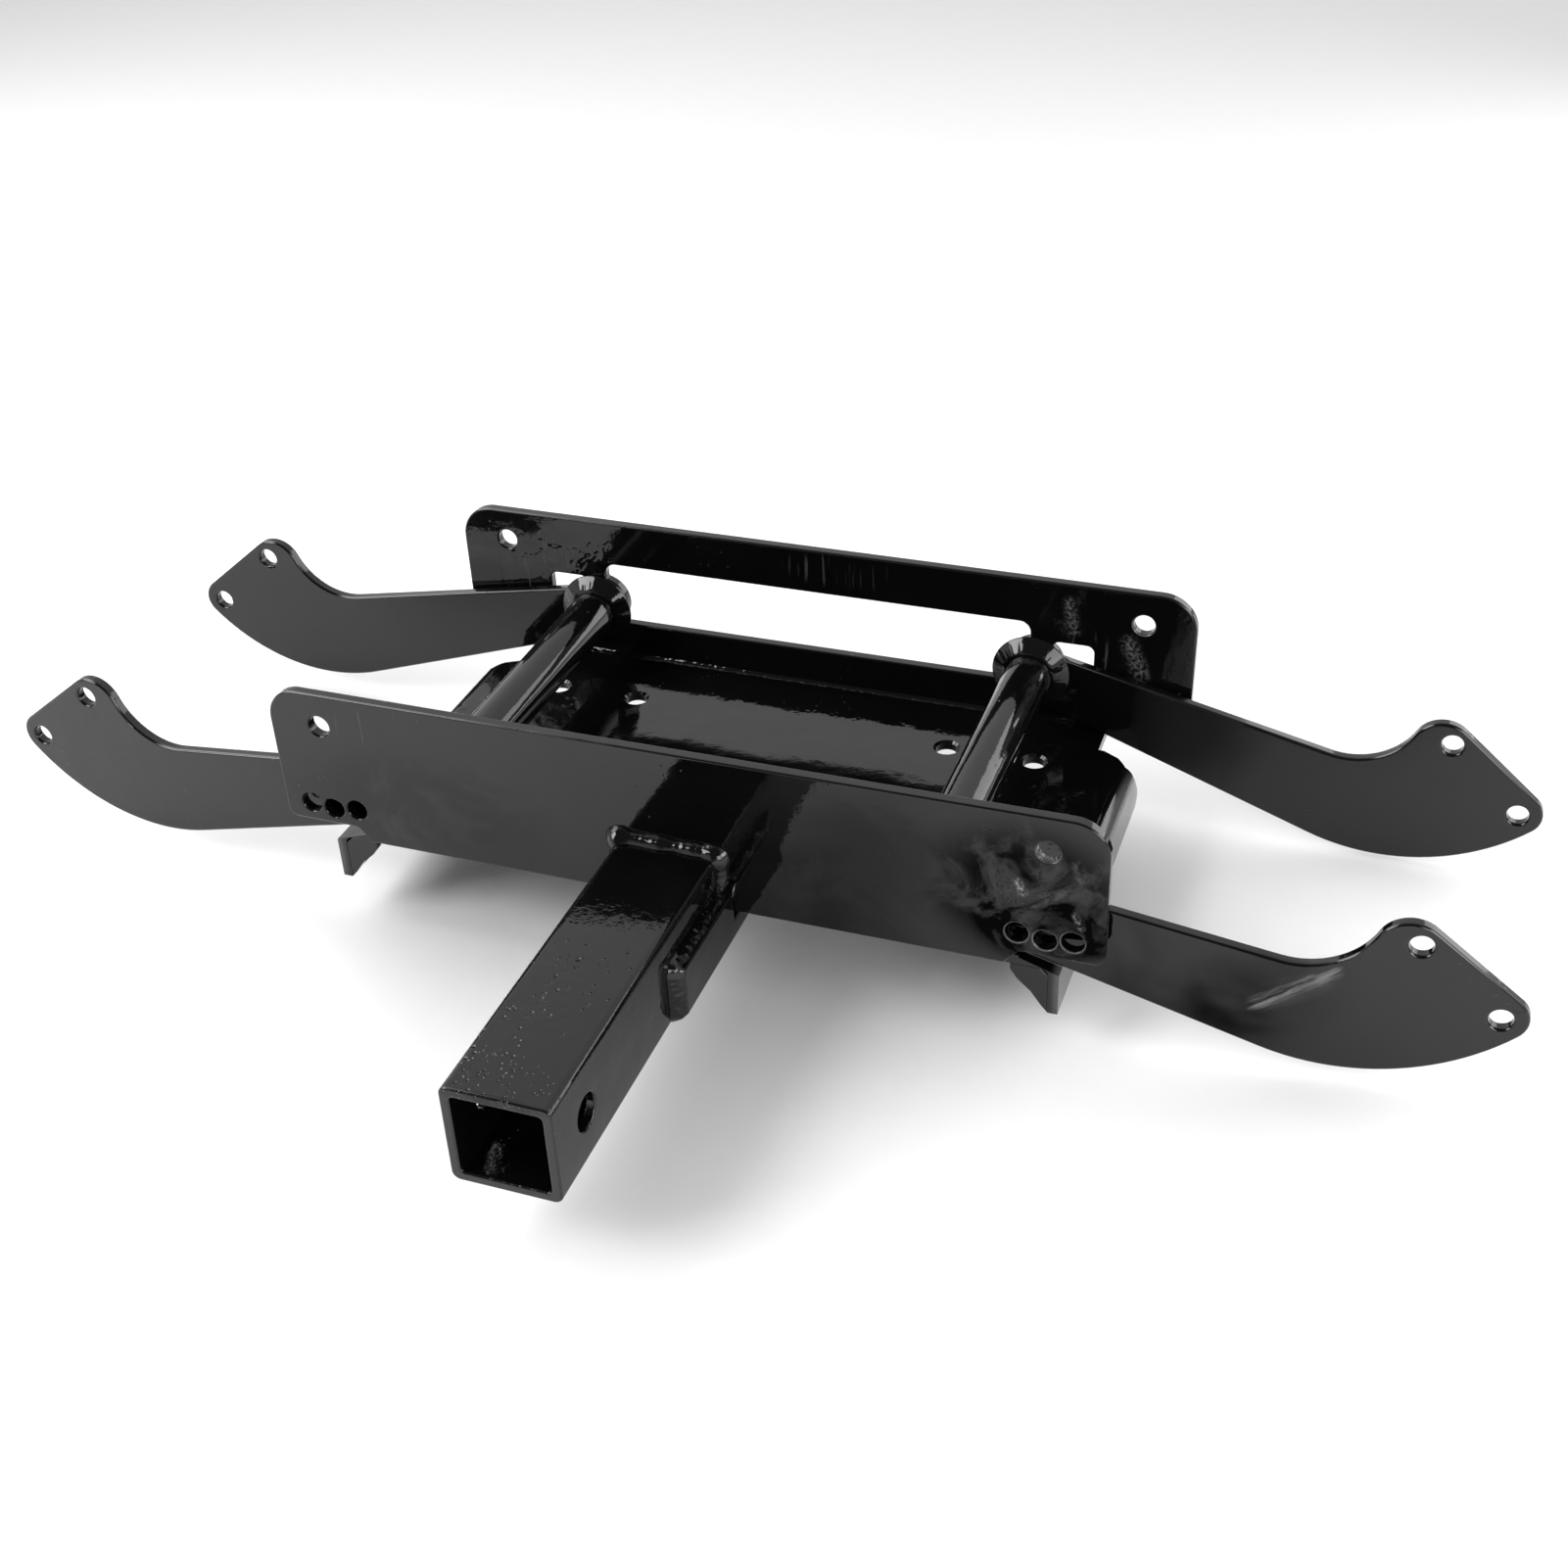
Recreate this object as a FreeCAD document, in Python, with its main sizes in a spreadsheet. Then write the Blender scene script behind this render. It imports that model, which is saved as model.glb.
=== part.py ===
import FreeCAD, Part
import math
import os
import re
import Sketcher
from FreeCAD import Placement, Rotation, Vector

# A receiver-mounted cradle: a square shank carries a welded box of two upright plates and a
# folded tray.  Between the plates a rocker hangs on each side: two arms on one pivot tube.
# Origin: centre of the hitch-pin bore.  +X right, +Y away from the towing vehicle, +Z up.

SIZES = {
    "shank_side": (50.8, "outer side of the square shank"),
    "shank_wall": (4.8, "shank wall"),
    "shank_round": (4.2, "outer corner of the shank"),
    "shank_bore_round": (2.0, "inner corner of the shank"),
    "shank_nose": (28.8, "pin centre to the open end of the shank"),
    "pin_bore": (16.5, "diameter of the hitch-pin bore"),
    "plate_front": (152.0, "pin centre to the front face of the front plate"),
    "plate_gauge": (6.0, "thickness of both plates"),
    "plate_half": (207.0, "half length of both plates"),
    "plate_top": (76.4, "top edge of both plates above the shank centreline"),
    "plate_end_low": (1.5, "lower edge of the plate ends"),
    "front_low": (-6.5, "lower edge of the front plate between the steps"),
    "rear_low": (-10.5, "lower edge of the rear plate between the steps"),
    "step_inner": (161.5, "foot of the step in the lower edge"),
    "step_outer": (168.5, "head of the step in the lower edge"),
    "front_round": (17.0, "upper corners of the front plate"),
    "rear_round": (19.0, "upper corners of the rear plate"),
    "plate_foot_round": (5.0, "lower corners of both plates"),
    "corner_out": (180.0, "upper corner hole from the centre plane"),
    "corner_up": (58.5, "upper corner hole above the shank centreline"),
    "corner_dia": (11.0, "upper corner hole"),
    "row_dia": (10.5, "holes of the lower row"),
    "row_first": (167.0, "inner hole of the lower row"),
    "row_middle": (180.0, "middle hole of the lower row"),
    "row_last": (192.5, "outer hole of the lower row"),
    "row_up": (12.0, "height of the inner and outer hole"),
    "row_dip": (10.5, "height of the middle hole"),
    "rear_face": (358.0, "pin centre to the front face of the rear plate"),
    "window_half": (121.0, "half length of the middle window"),
    "window_low": (15.2, "sill of the windows"),
    "window_top": (51.0, "head of the middle window"),
    "window_round": (6.0, "corners of the middle window"),
    "side_window_in": (133.0, "inner end of the side windows"),
    "side_window_out": (155.0, "outer end of the side windows"),
    "side_window_top": (41.5, "head of the side windows"),
    "side_window_round": (4.0, "corners of the side windows"),
    "pivot_land": (15.0, "radius of the land left round each pivot"),
    "floor_top": (-5.5, "upper face of the tray floor"),
    "tray_gauge": (5.0, "thickness of the tray"),
    "tray_half": (186.0, "half width over the flanges"),
    "tray_foot": (-35.5, "lower edge of the flanges"),
    "fold_round": (9.0, "outside radius of the folds"),
    "notch_in": (164.5, "edge the rear arms come down on"),
    "notch_front": (335.5, "front end of that edge"),
    "slant_front": (324.5, "rear end of the flanges at the fold"),
    "slant_top": (-12.0, "height at which the flange ends start to slope back"),
    "slant_back": (343.5, "rear end of the flanges at the foot"),
    "flange_round": (6.0, "corner radius at the rear foot of the flanges"),
    "relief_in": (167.0, "inner end of the relief under the front arms"),
    "relief_back": (176.0, "rear end of that relief"),
    "relief_high": (-6.6, "height of the relief at its inner end"),
    "relief_low": (-14.9, "height of the relief just outside the flange"),
    "slot_in": (88.4, "inner tray holes from the centre plane"),
    "slot_out": (135.2, "outer tray holes from the centre plane"),
    "slot_back": (315.8, "rear row of tray holes"),
    "slot_front": (201.5, "front row of tray holes"),
    "slot_dia": (11.5, "tray holes"),
    "slot_break": (1.3, "dished rim of the tray holes"),
    "pivot_out": (124.0, "pivot from the centre plane"),
    "pivot_up": (27.0, "pivot above the shank centreline"),
    "shaft_dia": (12.7, "pivot shaft"),
    "shaft_play": (0.05, "radial play of a bush on its shaft"),
    "tube_dia": (25.0, "outside of the pivot tube"),
    "tube_bore": (17.0, "bore of the pivot tube"),
    "bush_long": (25.0, "length of a bush"),
    "side_gap": (2.0, "gap between an arm and its plate"),
    "washer_gauge": (1.7, "thickness of a thrust washer"),
    "washer_dia": (28.0, "outside of a thrust washer"),
    "collar_wide": (20.5, "radius of a collar against its arm"),
    "collar_lip": (0.8, "how far the small end of a collar stands off its tube"),
    "collar_rim": (1.0, "straight rim of a collar against its arm"),
    "collar_long": (6.5, "length of a collar"),
    "arm_gauge": (6.0, "thickness of the arms"),
    "hub_round": (16.0, "hub of an arm"),
    "belly_out": (185.5, "centre of the belly arc, outward"),
    "belly_up": (24.4, "centre of the belly arc, upward"),
    "belly_round": (104.0, "belly arc"),
    "tip_out": (249.0, "outer hole and tip rounding, outward"),
    "tip_drop": (42.4, "outer hole and tip rounding, downward"),
    "ear_out": (208.5, "centre of the ear rounding, outward"),
    "ear_drop": (11.0, "centre of the ear rounding, downward"),
    "ear_round": (15.0, "rounding of the ear"),
    "saddle_out": (163.5, "centre of the saddle arc, outward"),
    "saddle_up": (11.2, "centre of the saddle arc, upward"),
    "saddle_round": (35.18, "saddle arc"),
    "spine_fall": (13.2, "fall of the upper edge in degrees"),
    "ear_hole_out": (213.0, "inner hole of an arm, outward"),
    "ear_hole_drop": (7.5, "inner hole of an arm, downward"),
    "arm_hole": (10.5, "holes of an arm"),
    "bend_out": (34.0, "bend line of a front arm from its pivot"),
    "bend_angle": (4.7, "bend of a front arm in degrees"),
    "front_lift": (1.8, "front arm welded on this much higher, degrees"),
    "left_lift": (2.4, "left rocker stands this much above its stop, degrees"),
    "rib_deep": (6.6, "thickness of the side bars on the shank"),
    "rib_low": (-21.0, "lower edge of the side bars"),
    "rib_top": (5.5, "upper edge of the side bars"),
    "rib_start": (91.0, "front end of the side bars, which run back into the shank weld"),
    "rib_end": (188.0, "rear end of the ribs under the tray"),
    "rib_weld": (4.0, "leg of the weld round a side bar"),
    "shank_weld": (5.5, "leg of the weld round the shank"),
    "shank_weld_round": (9.0, "outer corner of that weld"),
    "floor_weld": (3.0, "leg of the welds along the tray floor"),
    "floor_weld_half": (146.0, "half length of those welds"),
    "web_in": (163.0, "inner end of a tray web"),
    "web_low": (-19.0, "foot of the inner end of a tray web"),
    "web_gauge": (5.0, "thickness of a tray web"),
}

doc = FreeCAD.newDocument("cradle")
sheet = doc.addObject("Spreadsheet::Sheet", "dims")
for line, (alias, (value, note)) in enumerate(SIZES.items(), 1):
    sheet.set(f"A{line}", note)
    sheet.set(f"B{line}", str(value))
    sheet.setAlias(f"B{line}", alias)
doc.recompute()

ALONG_X, ALONG_Y, ALONG_Z = Vector(1, 0, 0), Vector(0, 1, 0), Vector(0, 0, 1)
# Upright pieces are drawn in their own X-Y plane.  A right-hand piece is padded towards the
# front and a left-hand one towards the rear, so outward is +X in both drawings.
UPRIGHT = {1: Rotation(ALONG_X, 90), -1: Rotation(ALONG_Z, 180) * Rotation(ALONG_X, 90)}
SIDES = (("right", 1), ("left", -1))


def cell(text):
    """Expression text with every size replaced by its spreadsheet cell."""
    return re.sub(r"[a-z_]+", lambda m: ("dims." if m[0] in SIZES else "") + m[0], text)


def value(text):
    """Number that the expression text stands for."""
    return float(sheet.evalExpression(cell(text)))


def bind(obj, **props):
    """Tie properties of an object to the spreadsheet."""
    for name, text in props.items():
        obj.setExpression(name.replace("__", "."), cell(text))


def place(obj, x="0", y="0", z="0", turn=None):
    """Position an object from expressions, with an optional fixed turn."""
    obj.Placement = Placement(Vector(), turn or Rotation())
    for axis, text in zip("xyz", (x, y, z)):
        obj.setExpression(f".Placement.Base.{axis}", cell(text))


def body(label, x="0", y="0", z="0", turn=None):
    part = doc.addObject("PartDesign::Body", label)
    part.Label = label
    place(part, x, y, z, turn)
    return part


def sketch(part, name, role="XY_Plane", lift=None):
    """Empty sketch on one of the body's own planes, lifted along the plane's normal."""
    drawing = part.newObject("Sketcher::SketchObject", f"{part.Label}_{name}")
    plane = next(f for f in part.Origin.OriginFeatures if f.Role == role)
    drawing.AttachmentSupport = [(plane, "")]
    drawing.MapMode = "FlatFace"
    if lift:
        drawing.setExpression(".AttachmentOffset.Base.z", cell(lift))
    return drawing


def rule(drawing, kind, refs, text):
    """Dimension between the given references, bound to an expression."""
    index = drawing.addConstraint(Sketcher.Constraint(kind, *refs, value(text)))
    if re.search("[a-z]", text):
        drawing.setExpression(f"Constraints[{index}]", cell(text))


def pin_point(drawing, geo, end, x, y):
    """Hold one point of the sketch at an expression position."""
    for kind, text in (("DistanceX", x), ("DistanceY", y)):
        rule(drawing, kind, (-1, 1, geo, end), text)


def polygon(drawing, corners):
    """Closed straight outline through corners given as pairs of expressions."""
    points = [Vector(value(x), value(y), 0) for x, y in corners]
    count = len(points)
    first = drawing.GeometryCount
    for a, b in zip(points, points[1:] + points[:1]):
        drawing.addGeometry(Part.LineSegment(a, b), False)
    for i in range(count):
        drawing.addConstraint(
            Sketcher.Constraint("Coincident", first + i, 2, first + (i + 1) % count, 1))
    for i, (x, y) in enumerate(corners):
        pin_point(drawing, first + i, 1, x, y)


def box_outline(drawing, x_low, x_high, y_low, y_high):
    polygon(drawing, [(x_low, y_low), (x_high, y_low), (x_high, y_high), (x_low, y_high)])


def circle(drawing, x, y, diameter):
    centre = Vector(value(x), value(y), 0)
    radius = value(f"({diameter}) / 2")
    geo = drawing.addGeometry(Part.Circle(centre, ALONG_Z, radius), False)
    pin_point(drawing, geo, 3, x, y)
    rule(drawing, "Diameter", (geo,), diameter)


def feature(part, kind, name, profile, **settings):
    item = part.newObject(f"PartDesign::{kind}", f"{part.Label}_{name}")
    item.Profile = profile
    for key, setting in settings.items():
        setattr(item, key, setting)
    profile.Visibility = False
    return item


def pad(part, name, profile, length, **settings):
    item = feature(part, "Pad", name, profile, **settings)
    bind(item, Length=length)
    doc.recompute()
    return item


def cut_through(part, name, profile):
    """Pocket right through the body on both sides of the sketch."""
    item = feature(part, "Pocket", name, profile, Type="ThroughAll", SideType="Symmetric")
    before = part.Shape.Volume
    doc.recompute()
    if part.Shape.Volume >= before - 1:
        raise ValueError(f"{item.Label} removed nothing")
    return item


def round_edges(part, name, along, corners, radius):
    """Fillet the straight edges that run along one body axis through the given corners."""
    spots = [(value(a), value(b)) for a, b in corners]
    shape = part.Tip.Shape
    names = []
    for number, edge in enumerate(shape.Edges, 1):
        if edge.Curve.TypeId != "Part::GeomLine":
            continue
        if abs(abs(edge.tangentAt(edge.FirstParameter).dot(along)) - 1) > 1e-6:
            continue
        middle = edge.CenterOfMass
        flat = [c for c, on in zip(middle, along) if not on]
        if any(math.dist(flat, spot) < 0.01 for spot in spots):
            names.append(f"Edge{number}")
    if not names:
        raise ValueError(f"{name}: no edge found on {part.Label}")
    base = part.Tip
    item = part.newObject("PartDesign::Fillet", f"{part.Label}_{name}")
    item.Base = (base, names)
    bind(item, Radius=radius)
    doc.recompute()
    return item


def turned(label, points, **spot):
    """Body of revolution: radius and height pairs turned about the body's Z axis."""
    part = body(label, **spot)
    profile = sketch(part, "profile", "XZ_Plane")
    polygon(profile, points)
    item = feature(part, "Revolution", "turn", profile, ReferenceAxis=(profile, ["V_Axis"]))
    item.Angle = 360
    doc.recompute()
    return part


def ring(label, bore, outside, length, **spot):
    return turned(label, [(bore, "0"), (outside, "0"), (outside, length), (bore, length)], **spot)


def build_shank():
    part = body("shank_tube")
    half = "shank_side / 2"
    inner = "shank_side / 2 - shank_wall"
    profile = sketch(part, "profile", "XZ_Plane", "shank_nose")
    for reach in (half, inner):
        box_outline(profile, f"-({reach})", reach, f"-({reach})", reach)
    pad(part, "length", profile, "shank_nose + plate_front", Reversed=True)
    for name, reach, radius in (("outer", half, "shank_round"), ("inner", inner, "shank_bore_round")):
        corners = [(f"{a}({reach})", f"{b}({reach})") for a in ("", "-") for b in ("", "-")]
        round_edges(part, name, ALONG_Y, corners, radius)
    bore = sketch(part, "bore", "YZ_Plane")
    circle(bore, "0", "0", "pin_bore")
    cut_through(part, "pin_bore", bore)


def build_shank_weld():
    """Weld bead over the shank against the front plate, down to the ribs on both sides."""
    part = body("shank_weld", y="plate_front", turn=Rotation(ALONG_X, 90))
    reach = "shank_side / 2 + shank_weld"
    profile = sketch(part, "foot")
    box_outline(profile, f"-({reach})", reach, "rib_top", reach)
    pad(part, "block", profile, "shank_weld")
    corners = [(reach, reach), (f"-({reach})", reach)]
    round_edges(part, "corners", ALONG_Z, corners, "shank_weld_round")
    base = part.Tip
    rim = [f"Edge{n}" for n, edge in enumerate(base.Shape.Edges, 1)
           if edge.BoundBox.ZMin > value("shank_weld") - 0.01
           and edge.BoundBox.YMax > value("rib_top") + 0.01]
    slope = part.newObject("PartDesign::Chamfer", "shank_weld_slope")
    slope.Base = (base, rim)
    bind(slope, Size="shank_weld - 0.3")
    doc.recompute()
    core = sketch(part, "core")
    side = "shank_side / 2"
    box_outline(core, f"-{side}", side, f"-{side}", side)
    cut_through(part, "bore", core)


def build_ribs():
    """Flat bars beside the shank that run on under the tray, and the weld round each."""
    for name, side in SIDES:
        near = "shank_side / 2"
        under = "floor_top - tray_gauge"
        rib = body(f"shank_rib_{name}")
        outline = sketch(rib, "outline", "YZ_Plane", near if side > 0 else f"-({near})")
        polygon(outline, [("rib_start", "rib_low"), ("rib_end", "rib_low"), ("rib_end", under),
                          ("plate_front", under), ("plate_front", "rib_top"),
                          ("rib_start", "rib_top")])
        pad(rib, "bar", outline, "rib_deep", Reversed=side < 0)

        sign = "" if side > 0 else "-"
        part = body(f"rib_weld_{name}")
        top = sketch(part, "top", "XZ_Plane", "2 - rib_start")
        polygon(top, [(f"{sign}({near})", "rib_top"),
                      (f"{sign}({near} + rib_weld)", "rib_top"),
                      (f"{sign}({near})", "rib_top + rib_weld")])
        pad(part, "top_bead", top, "plate_front - shank_weld - rib_start + 2", Reversed=True)
        end = sketch(part, "end", "XY_Plane", "rib_low")
        polygon(end, [(f"{sign}({near})", "rib_start"),
                      (f"{sign}({near})", "rib_start - rib_weld"),
                      (f"{sign}({near} + rib_weld)", "rib_start")])
        pad(part, "end_bead", end, "rib_top - rib_low + 1")


def build_plate(label, back, low, upper_round):
    """Upright plate with stepped lower edge and its holes; drawn looking at its front face."""
    part = body(label, y=back, turn=UPRIGHT[1])
    outline = sketch(part, "outline")
    right = [("step_inner", low), ("step_outer", "plate_end_low"),
             ("plate_half", "plate_end_low"), ("plate_half", "plate_top")]
    left = [(f"-{x}", y) for x, y in reversed(right)]
    polygon(outline, right + left)
    pad(part, "blank", outline, "plate_gauge")
    for name, height, radius in (("upper", "plate_top", upper_round),
                                 ("foot", "plate_end_low", "plate_foot_round")):
        round_edges(part, name, ALONG_Z, [("plate_half", height), ("-plate_half", height)], radius)
    holes = sketch(part, "holes")
    for sign in ("", "-"):
        circle(holes, f"{sign}corner_out", "corner_up", "corner_dia")
        for out, up in (("row_first", "row_up"), ("row_middle", "row_dip"), ("row_last", "row_up")):
            circle(holes, f"{sign}{out}", up, "row_dia")
    cut_through(part, "drilling", holes)
    return part


def build_windows(part):
    """Three windows of the rear plate, and the round lands that carry the pivot shafts."""
    openings = sketch(part, "windows")
    box_outline(openings, "-window_half", "window_half", "window_low", "window_top")
    for sign in ("", "-"):
        box_outline(openings, f"{sign}side_window_in", f"{sign}side_window_out",
                    "window_low", "side_window_top")
    cut_through(part, "window_cut", openings)
    heads = [(f"{s}window_half", h) for s in ("", "-") for h in ("window_top",)]
    round_edges(part, "window_corners", ALONG_Z, heads, "window_round")
    ends = [(f"{s}{e}", h) for s in ("", "-") for e in ("side_window_in", "side_window_out")
            for h in ("window_low", "side_window_top")]
    round_edges(part, "side_window_corners", ALONG_Z, ends, "side_window_round")
    lands = sketch(part, "lands")
    for sign in ("", "-"):
        circle(lands, f"{sign}pivot_out", "pivot_up", "2 * pivot_land")
    pad(part, "pivot_lands", lands, "plate_gauge")


def build_tray():
    """Folded tray with downturned flanges, cut back where the arms pass and come to rest."""
    part = body("tray", y="plate_front + plate_gauge")
    profile = sketch(part, "profile", "XZ_Plane")
    inner = "tray_half - tray_gauge"
    under = "floor_top - tray_gauge"
    right = [(inner, under), (inner, "tray_foot"), ("tray_half", "tray_foot"),
             ("tray_half", "floor_top")]
    left = [(f"-({x})", y) for x, y in reversed(right)]
    polygon(profile, right + left)
    pad(part, "length", profile, "rear_face - plate_front - plate_gauge", Reversed=True)
    round_edges(part, "outer_folds", ALONG_Y,
                [("tray_half", "floor_top"), ("-tray_half", "floor_top")], "fold_round")
    round_edges(part, "inner_folds", ALONG_Y,
                [(inner, under), (f"-({inner})", under)], "fold_round - tray_gauge")

    start = "(plate_front + plate_gauge)"
    notches = sketch(part, "rear_notches")
    for sign in ("", "-"):
        polygon(notches, [(f"{sign}notch_in", f"notch_front - {start}"),
                          (f"{sign}(notch_in + 3)", f"notch_front - {start}"),
                          (f"{sign}({inner} - 5)", f"slant_front + 6 - {start}"),
                          (f"{sign}({inner})", f"slant_front - {start}"),
                          (f"{sign}({inner})", f"rear_face + 5 - {start}"),
                          (f"{sign}notch_in", f"rear_face + 5 - {start}")])
    cut_through(part, "rear_notch_cut", notches)

    for name, side in SIDES:
        sign = "" if side > 0 else "-"
        slant = sketch(part, f"slant_{name}", "YZ_Plane", f"{sign}({inner})")
        beyond = f"rear_face + 5 - {start}"
        polygon(slant, [(f"slant_front - {start}", "5"), (f"slant_front - {start}", "slant_top"),
                        (f"slant_back - {start}", "tray_foot"),
                        (f"slant_back - {start}", "tray_foot - 5"),
                        (beyond, "tray_foot - 5"), (beyond, "5")])
        item = feature(part, "Pocket", f"slant_cut_{name}", slant, Reversed=side > 0)
        bind(item, Length="tray_gauge + 5")
        doc.recompute()
    round_edges(part, "flange_corners", ALONG_X, [(f"slant_back - {start}", "tray_foot")],
                "flange_round")

    relief = sketch(part, "relief", "XZ_Plane")
    for sign in ("", "-"):
        polygon(relief, [(f"{sign}relief_in", "5"), (f"{sign}relief_in", "relief_high"),
                         (f"{sign}(tray_half + 5)", "relief_low"), (f"{sign}(tray_half + 5)", "5")])
    item = feature(part, "Pocket", "relief_cut", relief)
    bind(item, Length=f"relief_back - {start}")
    doc.recompute()

    holes = sketch(part, "holes")
    for sign in ("", "-"):
        for out in ("slot_in", "slot_out"):
            for along in ("slot_front", "slot_back"):
                circle(holes, f"{sign}{out}", f"{along} - {start}", "slot_dia")
    cut_through(part, "drilling", holes)
    base = part.Tip
    rims = [f"Edge{n}" for n, edge in enumerate(base.Shape.Edges, 1)
            if edge.Curve.TypeId == "Part::GeomCircle"
            and abs(edge.Curve.Radius - value("slot_dia") / 2) < 0.01
            and edge.BoundBox.ZMin > value("floor_top") - 0.01]
    dish = part.newObject("PartDesign::Chamfer", "tray_hole_rims")
    dish.Base = (base, rims)
    bind(dish, Size="slot_break")
    doc.recompute()


def build_tray_fittings():
    """Webs that close the tray's front corners, and the welds along both plates."""
    inner = "tray_half - tray_gauge"
    under = "floor_top - tray_gauge"
    for name, side in SIDES:
        y = "plate_front + plate_gauge + web_gauge" if side > 0 else "plate_front + plate_gauge"
        part = body(f"tray_web_{name}", y=y, turn=UPRIGHT[side])
        outline = sketch(part, "outline")
        turn = "fold_round - tray_gauge"
        polygon(outline, [("web_in", under), (f"{inner} - ({turn})", under),
                          (inner, f"{under} - ({turn})"), (inner, "tray_foot"),
                          (f"{inner} - 3", "tray_foot + 3.4"), (f"{inner} - 8", "tray_foot + 10.4"),
                          ("web_in + 3.4", "web_low"), ("web_in", "web_low + 5")])
        pad(part, "plate", outline, "web_gauge")

    for label, y, sign in (("tray_front_weld", "plate_front + plate_gauge", ""),
                           ("tray_rear_weld", "rear_face", "-")):
        part = body(label, x="-floor_weld_half", y=y, z="floor_top")
        profile = sketch(part, "profile", "YZ_Plane")
        polygon(profile, [("0", "0"), (f"{sign}floor_weld", "0"), ("0", "floor_weld")])
        pad(part, "bead", profile, "2 * floor_weld_half")


def build_rocker(name, side):
    """Everything that hangs on one pivot: its shaft, washers, tube, bushes, collars and arms."""
    sign = "" if side > 0 else "-"
    spot = {"x": f"{sign}pivot_out", "z": "pivot_up"}
    back = Rotation(ALONG_X, -90)
    front = Rotation(ALONG_X, 90)
    near = "(plate_front + plate_gauge)"
    shaft = "shaft_dia / 2"
    outside = "tube_dia / 2"

    axle = doc.addObject("Part::Cylinder", f"pivot_shaft_{name}")
    axle.Label = f"pivot_shaft_{name}"
    bind(axle, Radius=shaft, Height=f"rear_face - {near}")
    place(axle, spot["x"], near, spot["z"], back)

    play = f"{shaft} + shaft_play"
    washer = (play, "washer_dia / 2", "washer_gauge")
    ring(f"thrust_washer_front_{name}", *washer, y=near, turn=back, **spot)
    ring(f"thrust_washer_rear_{name}", *washer, y="rear_face", turn=front, **spot)

    tube_start = f"{near} + side_gap"
    tube_end = "(rear_face - side_gap)"
    ring(f"pivot_tube_{name}", "tube_bore / 2", outside, f"{tube_end} - {near} - side_gap",
         y=tube_start, turn=back, **spot)
    bush = (play, "tube_bore / 2", "bush_long")
    ring(f"pivot_bush_front_{name}", *bush, y=tube_start, turn=back, **spot)
    ring(f"pivot_bush_rear_{name}", *bush, y=tube_end, turn=front, **spot)

    cone = [(outside, "0"), ("collar_wide", "0"), ("collar_wide", "collar_rim"),
            (f"{outside} + collar_lip", "collar_long"), (outside, "collar_long")]
    turned(f"pivot_collar_front_{name}", cone, y=f"{tube_start} + arm_gauge", turn=back, **spot)
    turned(f"pivot_collar_rear_{name}", cone, y=f"{tube_end} - arm_gauge", turn=front, **spot)


def arm_outline(drawing):
    """Hub, straight lower edge, belly arc, tip, end edge, ear, saddle and falling upper edge."""
    hub = Vector()
    belly = Vector(value("belly_out"), value("belly_up"))
    tip = Vector(value("tip_out"), -value("tip_drop"))
    ear = Vector(value("ear_out"), -value("ear_drop"))
    saddle = Vector(value("saddle_out"), value("saddle_up"))
    r_hub, r_belly, r_ear = value("hub_round"), value("belly_round"), value("ear_round")
    r_tip = r_belly - (tip - belly).Length
    r_saddle = (saddle - ear).Length - r_ear
    fall = math.radians(value("spine_fall"))

    def normal(a, ra, b, rb, lower):
        """Unit normal, pointing out of both circles, of the line that touches both."""
        way = b - a
        lean = math.acos((ra - rb) / way.Length)
        angle = math.atan2(way.y, way.x) + (-lean if lower else lean)
        return Vector(math.cos(angle), math.sin(angle))

    low = normal(hub, r_hub, belly, r_belly, True)
    end = normal(tip, r_tip, ear, r_ear, True)
    spine = Vector(math.sin(fall), math.cos(fall))
    foot = saddle - spine * r_saddle
    along = Vector(spine.y, -spine.x)
    height = foot.dot(spine)
    root = spine * height + along * math.sqrt(r_hub ** 2 - height ** 2)
    joints = [root, hub + low * r_hub, belly + low * r_belly,
              belly + (tip - belly).normalize() * r_belly,
              tip + end * r_tip, ear + end * r_ear,
              ear + (saddle - ear).normalize() * r_ear, foot]
    middles = [(hub, r_hub), None, (belly, r_belly), (tip, r_tip), None, (ear, r_ear),
               (saddle, r_saddle), None]
    first = drawing.GeometryCount
    for i, middle in enumerate(middles):
        a, b = joints[i], joints[(i + 1) % 8]
        if middle is None:
            drawing.addGeometry(Part.LineSegment(a, b), False)
            continue
        centre, radius = middle
        angles = [math.atan2(p.y - centre.y, p.x - centre.x) for p in (a, b)]
        if i == 6:
            angles.reverse()
        drawing.addGeometry(
            Part.ArcOfCircle(Part.Circle(centre, ALONG_Z, radius), *angles), False)
    for i in range(8):
        here, there = first + i, first + (i + 1) % 8
        ends = (here, 1 if i == 6 else 2, there, 2 if i == 5 else 1)
        drawing.addConstraint(Sketcher.Constraint("Coincident" if i == 7 else "Tangent", *ends))
    drawing.addConstraint(Sketcher.Constraint("Coincident", first, 3, -1, 1))
    for step, x, y in ((2, "belly_out", "belly_up"), (3, "tip_out", "-tip_drop"),
                       (5, "ear_out", "-ear_drop")):
        pin_point(drawing, first + step, 3, x, y)
    rule(drawing, "DistanceX", (-1, 1, first + 6, 3), "saddle_out")
    for step, radius in ((0, "hub_round"), (2, "belly_round"), (5, "ear_round"),
                         (6, "saddle_round")):
        rule(drawing, "Radius", (first + step,), radius)
    rule(drawing, "Angle", (-1, first + 7), "180 - spine_fall")


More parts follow.
